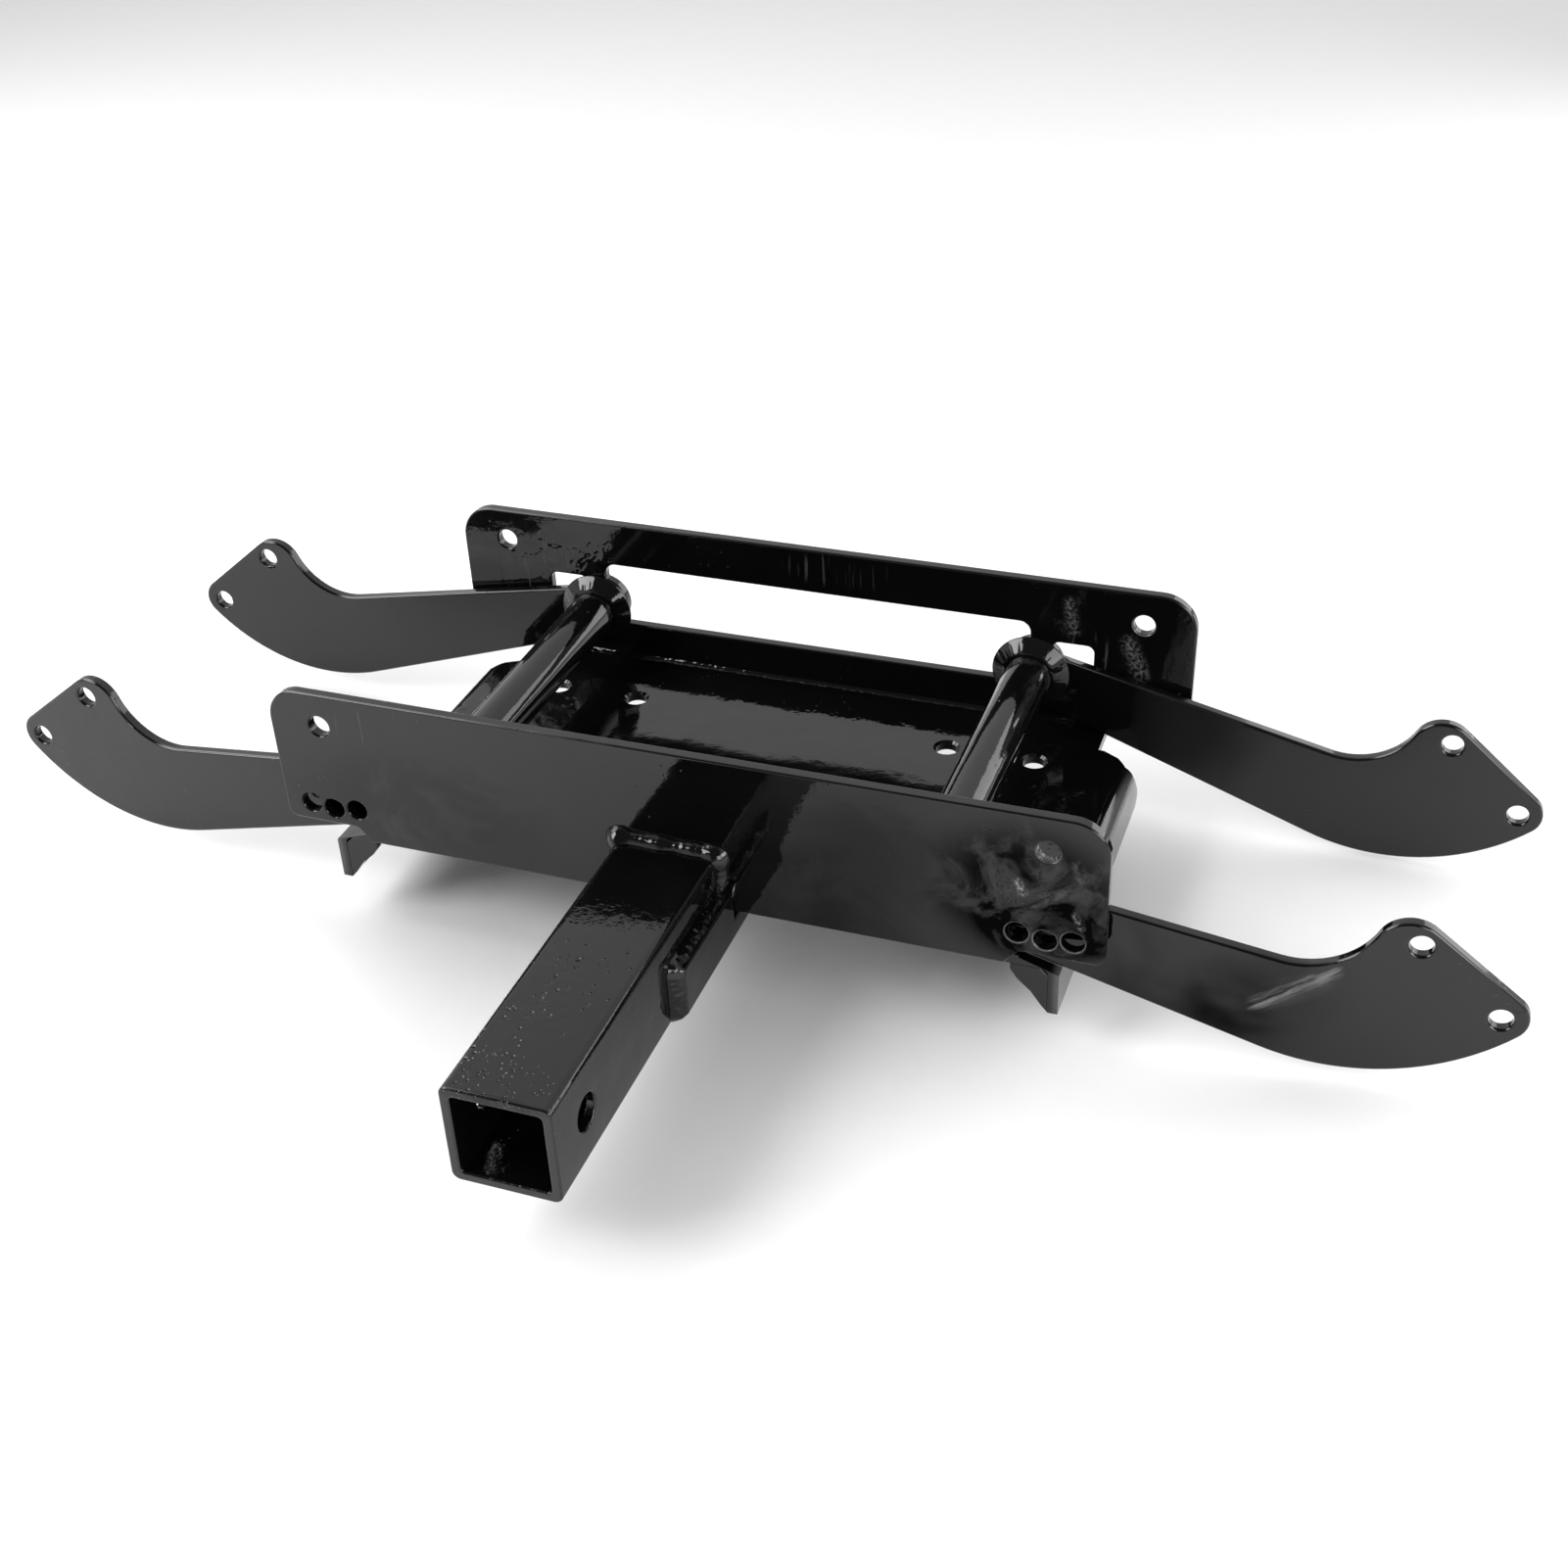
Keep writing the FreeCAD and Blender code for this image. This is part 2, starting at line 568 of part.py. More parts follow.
def build_arm(label, side, start, lift, bent):
    """Arm drawn outward along +X; a front arm is bent towards the rear outside the plates."""
    turn = UPRIGHT[side] * Rotation(ALONG_Z, value(lift))
    y = f"{start} + arm_gauge" if side > 0 else start
    part = body(label, x="pivot_out" if side > 0 else "-pivot_out", y=y, z="pivot_up", turn=turn)
    outline = sketch(part, "outline")
    arm_outline(outline)
    circle(outline, "0", "0", "tube_dia")
    circle(outline, "ear_hole_out", "-ear_hole_drop", "arm_hole")
    circle(outline, "tip_out", "-tip_drop", "arm_hole")
    if not bent:
        pad(part, "plate", outline, "arm_gauge")
        return
    pad(part, "slab", outline, "70", SideType="Symmetric")
    # Seen from above: everything in front of and behind the bent strip is cut away.
    run = "(tip_out + 20 - bend_out) * tan(bend_angle * 1 deg)"
    miter = "arm_gauge * tan(bend_angle * 0.5 deg)"
    rise = "arm_gauge / cos(bend_angle * 1 deg)"
    waste = sketch(part, "waste", "XZ_Plane")
    far, near = "tip_out + 20", "-hub_round - 5"
    if side > 0:
        inner = [("bend_out", "0"), (far, f"-({run})")]
        outer = [(f"bend_out + {miter}", "arm_gauge"), (far, f"{rise} - {run}")]
        floor, roof = "-36", "36"
    else:
        inner = [("bend_out", "arm_gauge"), (far, f"arm_gauge + {run}")]
        outer = [(f"bend_out + {miter}", "0"), (far, f"arm_gauge + {run} - {rise}")]
        floor, roof = "36", "-36"
    ends = ("0", "arm_gauge") if side > 0 else ("arm_gauge", "0")
    polygon(waste, [(near, ends[0]), *inner, (far, floor), (near, floor)])
    polygon(waste, [(near, ends[1]), *outer, (far, roof), (near, roof)])
    cut_through(part, "thinning", waste)


build_shank()
build_shank_weld()
build_ribs()
build_plate("front_plate", "plate_front + plate_gauge", "front_low", "front_round")
rear = build_plate("rear_plate", "rear_face + plate_gauge", "rear_low", "rear_round")
build_windows(rear)
build_tray()
build_tray_fittings()
for name, side in SIDES:
    build_rocker(name, side)
    stand = "0 * left_lift" if side > 0 else "left_lift"
    build_arm(f"arm_rear_{name}", side, "rear_face - side_gap - arm_gauge", stand, False)
    build_arm(f"arm_front_{name}", side, "plate_front + plate_gauge + side_gap",
              f"front_lift + {stand}", True)
doc.recompute()

pieces = [o for o in doc.Objects if o.TypeId in ("PartDesign::Body", "Part::Cylinder")]
for item in doc.Objects:
    if "Invalid" in item.State or "Error" in item.State:
        raise ValueError(f"{item.Label}: {item.State}")
os.makedirs("parts", exist_ok=True)
for piece in pieces:
    if piece.Shape.isNull() or not piece.Shape.isValid():
        raise ValueError(f"{piece.Label}: bad shape")
    piece.Shape.exportStep(f"parts/{piece.Label}.step")
    box = piece.Shape.BoundBox
    print(f"{piece.Label:28s} {piece.Shape.Volume:12.1f} mm3  solids {len(piece.Shape.Solids)}  "
          f"x {box.XMin:.1f} {box.XMax:.1f}  y {box.YMin:.1f} {box.YMax:.1f}  "
          f"z {box.ZMin:.1f} {box.ZMax:.1f}")
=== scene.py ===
import math

import bpy
from mathutils import Matrix, Vector, noise


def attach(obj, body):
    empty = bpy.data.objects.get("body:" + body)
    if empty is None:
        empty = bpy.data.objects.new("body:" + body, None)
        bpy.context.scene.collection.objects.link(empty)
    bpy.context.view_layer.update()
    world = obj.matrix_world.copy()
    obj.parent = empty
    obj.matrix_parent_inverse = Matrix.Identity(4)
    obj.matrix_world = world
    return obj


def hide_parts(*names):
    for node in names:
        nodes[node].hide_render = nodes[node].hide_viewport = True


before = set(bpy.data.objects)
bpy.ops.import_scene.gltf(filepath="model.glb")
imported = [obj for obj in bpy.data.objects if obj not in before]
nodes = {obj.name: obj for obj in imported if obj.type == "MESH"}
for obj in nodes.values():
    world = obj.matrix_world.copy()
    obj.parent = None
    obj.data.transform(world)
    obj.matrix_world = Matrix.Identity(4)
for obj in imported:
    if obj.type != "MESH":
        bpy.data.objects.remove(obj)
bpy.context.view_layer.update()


scene = bpy.context.scene
MM = 0.001

# Main faces of the cradle, in mm: +Y runs from the shank to the rear plate.
SHANK_TOP = 25.4        # also its half width
FRONT = 152.0           # front face of the front plate
REAR = 358.0            # front face of the rear plate
PLATE_GAUGE = 6.0
FLOOR = -5.5            # upper face of the tray floor
RIB_SIDE = 32.0         # outer face of the side bars
RIB_TOP, RIB_FOOT = 5.5, -21.0
RIB_START = 91.0        # front end of the side bars
TRAY_WELD_HALF = 146.0


# ---------------------------------------------------------------- shader building
class Shader:
    """Short names for the node calls of one material."""

    def __init__(self, name):
        self.material = bpy.data.materials.new(name)
        self.material.use_nodes = True
        self.tree = self.material.node_tree
        self.surface = self.tree.nodes["Principled BSDF"]
        coords = self.tree.nodes.new("ShaderNodeTexCoord")
        self.place = coords.outputs["Object"]

    def put(self, kind, inputs, output=0, **settings):
        """New node with its inputs fed and its settings made; gives one of its outputs."""
        node = self.tree.nodes.new("ShaderNode" + kind)
        for key, setting in settings.items():
            setattr(node, key, setting)
        for key, given in inputs.items():
            self.feed(node.inputs[key], given)
        return node.outputs[output]

    def feed(self, socket, given):
        """Link a socket to another node's output, or set it to a plain value."""
        if isinstance(given, bpy.types.NodeSocket):
            self.tree.links.new(given, socket)
        else:
            socket.default_value = given

    def math(self, operation, *given, clamp=False):
        return self.put("Math", dict(enumerate(given)), operation=operation, use_clamp=clamp)

    def times(self, a, b):
        return self.math("MULTIPLY", a, b)

    def plus(self, base, mask, amount):
        """base raised by amount wherever the mask is 1."""
        return self.math("MULTIPLY_ADD", mask, amount, base)

    def vector(self, operation, *given):
        return self.put("VectorMath", dict(enumerate(given)), operation=operation)

    def measure(self, operation, *given):
        """Vector operation that gives one number."""
        return self.put("VectorMath", dict(enumerate(given)), output="Value", operation=operation)

    def from_point(self, point):
        """Offset of the shaded spot from a point given in mm."""
        return self.vector("SUBTRACT", self.place, Vector(point) * MM)

    def stretched(self, scale, turn=(0, 0, 0)):
        return self.put("Mapping", {"Vector": self.place, "Scale": scale, "Rotation": turn})

    def noise(self, scale, detail=2.0, rough=0.5, place=None, distort=0.0):
        return self.put("TexNoise", {"Vector": place or self.place, "Scale": scale,
                                     "Detail": detail, "Roughness": rough,
                                     "Distortion": distort})

    def cells(self, scale):
        return self.put("TexVoronoi", {"Vector": self.place, "Scale": scale})

    def ramp(self, value, low, high):
        """Smooth step from 0 at low to 1 at high."""
        return self.put("MapRange", {"Value": value, "From Min": low, "From Max": high},
                        interpolation_type="SMOOTHSTEP")

    def around(self, centre, reach, soft=0.5):
        """1 inside an ellipsoid, falling smoothly to 0 at its surface."""
        scaled = self.vector("DIVIDE", self.from_point(centre), Vector(reach) * MM)
        return self.ramp(self.measure("LENGTH", scaled), 1.0, 1.0 - soft)

    def hatching(self, start, end, width, fine, stretch):
        """Fine lines along a line in the XZ plane, fading to nothing at its width."""
        way = (Vector(end) - Vector(start)).normalized()
        side = Vector((-way.z, 0, way.x)).normalized()
        through = way.cross(side) * 1.5     # depth counts more: nothing shows through a plate
        offset = self.from_point(start)
        along, across, deep = (self.measure("DOT_PRODUCT", offset, axis)
                               for axis in (way, side, through))
        length = (Vector(end) - Vector(start)).length * MM
        inside = self.times(self.math("DIVIDE", along, length, clamp=True), length)
        beyond = self.math("SUBTRACT", along, inside)
        gap = self.measure("LENGTH", self.put("CombineXYZ", {0: beyond, 1: across, 2: deep}))
        spot = self.put("CombineXYZ", {0: self.times(along, stretch), 1: across})
        lines = self.ramp(self.noise(fine, 3, 0.6, spot), 0.40, 0.66)
        return self.times(lines, self.ramp(gap, width * MM, 0.0))

    def ring(self, centre, radius, width):
        """1 on a circle in the XZ plane, falling to 0 at the given distance from it."""
        length = self.measure("LENGTH", self.vector("MULTIPLY", self.from_point(centre), (1, 0, 1)))
        away = self.math("ABSOLUTE", self.math("SUBTRACT", length, radius * MM))
        return self.ramp(away, width * MM, 0.0)

    def bump(self, height, strength, distance, below=None):
        inputs = {"Height": height, "Strength": strength, "Distance": distance}
        if below:
            inputs["Normal"] = below
        return self.put("Bump", inputs)

    def finish(self, **surface):
        for key, given in surface.items():
            self.feed(self.surface.inputs[key.replace("_", " ")], given)
        return self.material


class Paint(Shader):
    """Deep gloss black paint: orange peel, nibs of settled specks, faint haze and hairline marks.

    Each method adds one flaw, kind of wear or kind of painted light (painted highlights round holes
    and along a crease, painted sheen down folds, painted shade beside a crease).  Places and sizes
    are in mm.
    """

    CLEAN = (0.0022, 0.0022, 0.0024, 1)
    HAZY_AND_PAINTED_LIGHT = (0.0036, 0.0036, 0.0038, 1)

    def __init__(self, name, ripple=1.0):
        super().__init__(name)
        peel = self.noise(420, 2)
        wave = self.noise(34, 2)
        nibs = self.ramp(self.cells(170), 0.12, 0.03)
        nibs = self.times(nibs, self.ramp(self.noise(23, 1), 0.56, 0.64))
        haze = self.ramp(self.noise(12, 4, 0.6), 0.45, 0.75)
        strands = self.stretched((900, 900, 40), (0.5, 0.3, 0.7))
        hair = self.ramp(self.noise(1.0, 3, 0.6, strands), 0.72, 0.78)
        hair = self.times(hair, self.ramp(self.noise(9, 2), 0.56, 0.66))
        self.gloss = self.plus(self.plus(0.045, haze, 0.035), hair, 0.25)
        self.shine = self.plus(0.5, haze, -0.03)
        self.dust_and_painted_light = haze
        self.normal = self.bump(wave, 0.10 * ripple, 0.004)
        self.emboss(peel, 0.6, 0.05 * ripple)
        self.emboss(nibs, 0.3, 0.8)
        self.emboss(hair, -0.1, 0.25)

    def emboss(self, height, depth, strength=1.0):
        self.normal = self.bump(height, strength, depth * MM, self.normal)

    def patch(self, centre, reach, scale, depth, dulling=0.0):
        """Lumpy spot."""
        lumps = self.times(self.around(centre, reach),
                           self.ramp(self.noise(scale, 3, 0.6), 0.42, 0.66))
        self.emboss(lumps, depth)
        self.gloss = self.plus(self.gloss, lumps, dulling)

    def pits(self, centre, reach, scale, depth):
        """Scattered pinholes, or nibs where the depth is negative."""
        holes = self.times(self.ramp(self.cells(scale), 0.34, 0.12),
                           self.around(centre, reach, 0.9))
        holes = self.times(holes, self.ramp(self.noise(scale * 0.3, 1), 0.46, 0.56))
        self.emboss(holes, -depth)

    def crease(self, centre, reach, line, half_width, depth):
        """Step in the surface across a line given by its direction in the XZ plane."""
        across = Vector((-line[1], 0, line[0])).normalized()
        side = self.measure("DOT_PRODUCT", self.from_point(centre), across)
        side = self.plus(self.math("SUBTRACT", side, 0.003), self.noise(40, 2), 0.006)
        step = self.ramp(side, -half_width * MM, half_width * MM)
        self.emboss(self.times(step, self.around(centre, reach, 0.7)), depth)

    def smudge_and_painted_shade(self, centre, reach, scale, strength):
        """Cloud that reflects less; on the front right arm it is painted shade below the crease."""
        cloud = self.ramp(self.noise(scale, 4, 0.65, distort=0.6), 0.34, 0.54)
        cloud = self.times(cloud, self.around(centre, reach, 0.6))
        self.shine = self.plus(self.shine, cloud, -strength)

    def scratches(self, centre, reach, scale, lean):
        """Fine light scratches, turned about Y."""
        grain = self.stretched((scale, scale, scale * 0.06), (0, lean, 0))
        lines = self.times(self.ramp(self.noise(1.0, 2, 0.5, grain), 0.60, 0.68),
                           self.around(centre, reach))
        self.dust_and_painted_light = self.math("MAXIMUM", self.dust_and_painted_light, self.times(lines, 20.0))
        self.gloss = self.plus(self.gloss, lines, 0.30)

    def scuff_and_painted_highlight(self, start, end, width, fine, stretch, whiteness):
        """Light band from start to end: worn paint on the plates, a painted highlight with fine worn
        lines on the front right arm.
        """
        light_band = self.hatching(start, end, width, fine, stretch)
        self.dust_and_painted_light = self.plus(self.dust_and_painted_light, light_band, whiteness)
        self.gloss = self.plus(self.gloss, light_band, 0.25)
        self.emboss(light_band, 0.2)

    def painted_rim_highlight(self, centre, radius):
        """Painted highlight round a hole: a broken light ring in the paint colour."""
        highlight_ring = self.times(self.ring(centre, radius, 0.5), self.ramp(self.noise(90, 2), 0.30, 0.55))
        self.dust_and_painted_light = self.plus(self.dust_and_painted_light, highlight_ring, 70.0)

    def painted_sheen_and_dulling(self, centre, reach, whiteness, dulling):
        """Area of dulled paint, lightened in colour by the whiteness as a painted sheen."""
        here = self.around(centre, reach, 0.25)
        self.dust_and_painted_light = self.plus(self.dust_and_painted_light, here, whiteness)
        self.gloss = self.plus(self.gloss, here, dulling)

    def done(self):
        # The lightening factor holds haze, scratches and worn marks, and also painted highlights and
        # painted sheen; these push it far past 1, so the colour runs well beyond the hazy tone.
        tone = self.put("Mix", {"Factor": self.dust_and_painted_light, 6: self.CLEAN, 7: self.HAZY_AND_PAINTED_LIGHT},
                        output=2, data_type="RGBA", clamp_factor=False)
        return self.finish(Base_Color=tone, Roughness=self.gloss, Normal=self.normal, IOR=1.5,
                           Specular_IOR_Level=self.shine)


def bare_metal(name, colour):
    """Machined metal with fine turning lines and a little dulling."""
    s = Shader(name)
    lines = s.noise(1.0, 2, 0.5, s.stretched((4000, 60, 4000)))
    dull = s.noise(40, 3)
    tone = s.put("Mix", {"Factor": dull, 6: (*[c * 0.75 for c in colour], 1), 7: (*colour, 1)},
                 output=2, data_type="RGBA")
    rough = s.math("MULTIPLY_ADD", dull, 0.2, 0.25)
    normal = s.bump(lines, 0.15, 0.0002)
    return s.finish(Base_Color=tone, Roughness=rough, Normal=normal, Metallic=1.0)


# ---------------------------------------------------------------- CAD pieces
JOIN_WITHIN = 1e-6      # metres between vertices that become one
FLAT_WITHIN = 0.25      # degrees between triangles that make one face
SHARP_ABOVE = 38        # degrees across an edge that gets rounded


def soften(obj, width, clamp):
    """Rounded paint-filled edges on a CAD node, with flat faces kept flat; width in mm."""
    mesh = obj.data
    if "custom_normal" in mesh.attributes:
        mesh.attributes.remove(mesh.attributes["custom_normal"])
    for polygon in mesh.polygons:
        polygon.use_smooth = True
    weld = obj.modifiers.new("join", "WELD")
    weld.merge_threshold = JOIN_WITHIN
    merge = obj.modifiers.new("merge", "DECIMATE")
    merge.decimate_type = "DISSOLVE"
    merge.angle_limit = math.radians(FLAT_WITHIN)
    bevel = obj.modifiers.new("edges", "BEVEL")
    bevel.width = width * MM
    bevel.segments = 4
    bevel.limit_method = "ANGLE"
    bevel.angle_limit = math.radians(SHARP_ABOVE)
    bevel.harden_normals = True
    bevel.use_clamp_overlap = clamp


def dress(obj, material):
    """Give an object one material."""
    obj.data.materials.clear()
    obj.data.materials.append(material)


def shank_paint():
    """Runs on top and inside, pinholes near the open end."""
    p = Paint("shank_paint")
    p.patch((0, 30, SHANK_TOP), (40, 70, 12), 190, 0.035)
    p.patch((0, 108, SHANK_TOP), (40, 34, 12), 200, 0.05)
    p.patch((0, 0, -20), (26, 60, 12), 220, 0.08)
    p.pits((-4, -22, SHANK_TOP), (40, 26, 14), 420, 0.35)
    p.pits((-14, 0, SHANK_TOP), (24, 44, 14), 300, 0.25)
    p.pits((0, 50, SHANK_TOP), (34, 90, 12), 200, 0.18)
    p.smudge_and_painted_shade((0, -29, 23.4), (30, 4, 5), 6, 0.30)
    return p.done()


def front_plate_paint():
    """Rubbed and smudged at the right-hand end, a few scratches at the left."""
    p = Paint("front_plate_paint")
    p.patch((178, FRONT, 30), (36, 8, 40), 80, 0.9, 0.04)
    p.patch((-140, FRONT, 8), (60, 8, 9), 40, 0.25)
    p.smudge_and_painted_shade((172, FRONT, 34), (60, 8, 48), 36, 0.48)
    p.smudge_and_painted_shade((186, FRONT, 14), (44, 8, 26), 22, 0.48)
    p.smudge_and_painted_shade((60, FRONT, 10), (110, 8, 40), 9, 0.20)
    p.smudge_and_painted_shade((-130, FRONT, 20), (90, 8, 40), 22, 0.10)
    p.scratches((-150, FRONT, 62), (26, 8, 12), 500, 1.1)
    p.scratches((182, FRONT, 34), (24, 8, 18), 160, 0.6)
    p.scuff_and_painted_highlight((167, FRONT, 40), (169.5, FRONT, 35), 3.2, 520, 0.8, 150)
    p.scuff_and_painted_highlight((193, FRONT, 54), (195, FRONT, 45), 4.5, 260, 0.8, 30)
    p.scuff_and_painted_highlight((174, FRONT, 29), (190, FRONT, 41), 4.5, 260, 0.4, 26)
    p.scuff_and_painted_highlight((193, FRONT, 27), (196, FRONT, 21), 2.6, 520, 0.8, 90)
    # Painted highlights round the right-hand holes.
    for x, z in ((167, 12), (180, 10.5), (192.5, 12), (180, 58.5)):
        p.painted_rim_highlight((x, FRONT, z), 5.75)
    return p.done()


def rear_plate_paint():
    """Scuffed at both ends."""
    p = Paint("rear_plate_paint")
    p.patch((-150, REAR, 50), (50, 8, 24), 60, 0.20, 0.02)
    p.patch((150, REAR, 40), (36, 8, 30), 120, 0.20, 0.02)
    p.scratches((-160, REAR, 40), (34, 8, 36), 420, 0.3)
    p.scratches((18, REAR, 66), (40, 8, 12), 400, 0.9)
    p.scratches((150, REAR, 30), (26, 8, 24), 420, 0.4)
    p.scuff_and_painted_highlight((173, REAR, 47), (180, REAR, 30), 7, 480, 1.0, 60)
    p.scuff_and_painted_highlight((141, REAR, 66), (144, REAR, 50), 5, 480, 1.0, 60)
    # Painted highlight round the corner hole.
    p.painted_rim_highlight((180, REAR, 58.5), 6.0)
    return p.done()


def tray_paint():
    """Nibs on the floor; painted sheen in dulled paint down both folds."""
    p = Paint("tray_paint")
    p.patch((0, 340, FLOOR), (150, 20, 10), 60, 0.10)
    p.pits((150, 300, FLOOR), (50, 60, 10), 90, -0.30)
    p.pits((-150, 290, FLOOR), (50, 60, 10), 80, -0.30)
    # Painted sheen down each fold.
    for side in (1, -1):
        p.painted_sheen_and_dulling((side * 191, 240, -20), (12.5, 125, 60), 48, 0.16)
    return p.done()


def creased_paint():
    """Front right arm: a crease half way along, with a painted highlight along it and painted shade
    to its lower left.
    """
    p = Paint("creased_paint")
    p.crease((286, 171, -4), (34, 12, 34), (28, 28), 5, 1.6)
    p.crease((262, 169, -30), (34, 12, 40), (24, 40), 9, -1.0)
    # Painted shade below and beside the crease: these clouds reflect less.
    p.smudge_and_painted_shade((236, 166, -10), (90, 30, 60), 7, 0.26)
    p.smudge_and_painted_shade((264, 168, -20), (30, 30, 30), 10, 0.24)
    # Painted highlight along the crease, streaked with fine worn lines.
    p.scuff_and_painted_highlight((272, 169, -17), (303, 173, 7), 6, 340, 0.12, 100)
    p.scuff_and_painted_highlight((278, 169, -12), (298, 173, 2), 11, 90, 0.3, 22)
    return p.done()


def far_arm_paint():
    """Rear right arm: duller where it leaves the tray."""
    p = Paint("far_arm_paint")
    p.smudge_and_painted_shade((190, 353, 10), (70, 30, 50), 7, 0.30)
    p.painted_sheen_and_dulling((207, 350, 14), (34, 14, 50), 0, 0.30)
    return p.done()


paints = {
    "shank_tube": shank_paint(),
    "front_plate": front_plate_paint(),
    "rear_plate": rear_plate_paint(),
    "tray": tray_paint(),
    "arm_front_right": creased_paint(),
    "arm_rear_right": far_arm_paint(),
}
paint = Paint("black_paint").done()
plain_steel = bare_metal("bare_steel", (0.45, 0.45, 0.46))
bronze = bare_metal("bronze", (0.55, 0.38, 0.16))


def finish_of(name):
    if "bush" in name:
        return bronze
    if "shaft" in name or "washer" in name:
        return plain_steel
    return paints.get(name, paint)


def edge_width(name, small):
    """How far paint and grinding round the edges of a node, in mm."""
    if small:
        return 0.2
    if name.startswith("arm_") or "shank_rib" in name:
        return 1.5
    if name in ("front_plate", "rear_plate", "shank_tube"):
        return 1.15
    return 0.5


for name, obj in nodes.items():
    dress(obj, finish_of(name))
    small = any(word in name for word in ("washer", "bush", "collar"))
    soften(obj, edge_width(name, small), small or name == "tray")


# ---------------------------------------------------------------- weld beads
STEP = 0.6              # spacing of the rings of a bead, mm
RING = 13               # points across a bead
CORNER_STEPS = 8        # pieces of a rounded corner
CORNER_REACH = 7.0      # mm from a shank corner over which the bead is fuller
OVERLAP, ROOT = 0.25, 0.3   # mm that a bead's face and root lie inside the metal


def cradle_piece(name, verts, faces, material):
    """Smooth-shaded piece of the cradle from vertices and faces."""
    mesh = bpy.data.meshes.new(name)
    mesh.from_pydata([tuple(v) for v in verts], [], faces)
    mesh.update()
    for polygon in mesh.polygons:
        polygon.use_smooth = True
    obj = bpy.data.objects.new(name, mesh)
    scene.collection.objects.link(obj)
    dress(obj, material)
    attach(obj, "cradle")
    return obj


def rounded(points, radius):
    """Path through 2-D points with rounded corners, sampled evenly (mm)."""
    points = [Vector(p) for p in points]
    route = [points[0]]
    for last, p, following in zip(points, points[1:], points[2:]):
        before, after = last - p, following - p
        reach = min(radius, before.length * 0.49, after.length * 0.49)
        a, b = p + before.normalized() * reach, p + after.normalized() * reach
        for k in range(CORNER_STEPS + 1):
            t = k / CORNER_STEPS
            route.append(a * (1 - t) ** 2 + p * (2 * t * (1 - t)) + b * t ** 2)
    route.append(points[-1])
    lengths = [0.0]
    for a, b in zip(route, route[1:]):
        lengths.append(lengths[-1] + (b - a).length)
    samples = max(2, round(lengths[-1] / STEP))
    path = []
    k = 0
    for n in range(samples + 1):
        want = lengths[-1] * n / samples
        while k < len(lengths) - 2 and lengths[k + 1] < want:
            k += 1
        span = lengths[k + 1] - lengths[k] or 1.0
        path.append(route[k].lerp(route[k + 1], (want - lengths[k]) / span))
    return path


def normals_2d(path):
    """Right-hand side normal of a sampled path."""
    result = []
    last = len(path) - 1
    for i in range(len(path)):
        way = path[min(i + 1, last)] - path[max(i - 1, 0)]
        way.normalize()
        result.append(Vector((way.y, -way.x)))
    return result


def corner_share(point):
    """1 at the shank's upper corners, falling to 0 at CORNER_REACH."""
    away = (Vector((abs(point.x), point.y)) - Vector((SHANK_TOP, SHANK_TOP))).length
    return max(0.0, 1 - away / CORNER_REACH)


def bead(name, corners, outs, ups, legs, material, *, ripple, lumps, seed, pitch=2.6,
         wander=0.18, bulge=0.16, swell=None):
    """Fillet weld of the cradle along a corner line.

    outs and ups point along the two surfaces that meet there and legs are the bead's reach
    along them, in mm.  ripple (one number or one for each corner point) is the height of the
    cross ripples, pitch their spacing in mm, lumps the unevenness, seed its draw, wander the
    change in size, bulge the height of the crest, swell a factor on the size for each point.
    """
    verts, faces = [], []
    count = len(corners)
    ripples = ripple if isinstance(ripple, list) else [ripple] * count
    swell = swell or [1.0] * count
    for i, (corner, out, up) in enumerate(zip(corners, outs, ups)):
        along = i * STEP
        drift = swell[i] * (1 + wander * noise.noise(Vector((along * 0.11, seed * 7.3, 0))))
        for k in range(RING):
            t = k / (RING - 1)
            crest = math.sin(math.pi * t)
            phase = along / pitch + 0.9 * crest + 1.3 * noise.noise(Vector((along * 0.2, seed, t)))
            wave = abs(math.sin(math.pi * phase)) ** 0.7 - 0.6
            lump = noise.noise(Vector((along * 0.5, t * 3, seed * 3.1)))
            rise = bulge + ripples[i] * wave + lumps * lump
            a = (1 - t) * legs[0] * drift + crest * rise * legs[0]
            b = t * legs[1] * drift + crest * rise * legs[1]
            verts.append((corner + out * (a - OVERLAP) + up * (b - OVERLAP)) * MM)
        verts.append((corner - out * ROOT - up * ROOT) * MM)
    loop = RING + 1
    for i in range(count - 1):
        here, there = i * loop, (i + 1) * loop
        for k in range(loop):
            m = (k + 1) % loop
            faces.append((here + k, here + m, there + m, there + k))
    faces.append(tuple(range(loop))[::-1])
    faces.append(tuple((count - 1) * loop + k for k in range(loop)))
    return cradle_piece(name, verts, faces, material)


weld_paint = Paint("weld_paint", ripple=0.9).done()

# Over the shank against the front plate, stepping out over both side bars.
rise, overhang = 0.6, 1.5
arch = rounded([(-RIB_SIDE - overhang, RIB_TOP + rise), (-SHANK_TOP, RIB_TOP + rise),
                (-SHANK_TOP, SHANK_TOP), (SHANK_TOP, SHANK_TOP),
                (SHANK_TOP, RIB_TOP + rise), (RIB_SIDE + overhang, RIB_TOP + rise)], 4.0)
sides = normals_2d(arch)
bead("weld_shank", [Vector((p.x, FRONT, p.y)) for p in arch],
     [Vector((n.x, 0, n.y)) * -1 for n in sides], [Vector((0, -1, 0))] * len(arch),
     (5.2, 5.2), weld_paint, ripple=0.0, pitch=3.6, seed=2, lumps=0.03,
     swell=[1 + 0.45 * corner_share(p) for p in arch])
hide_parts("shank_weld")

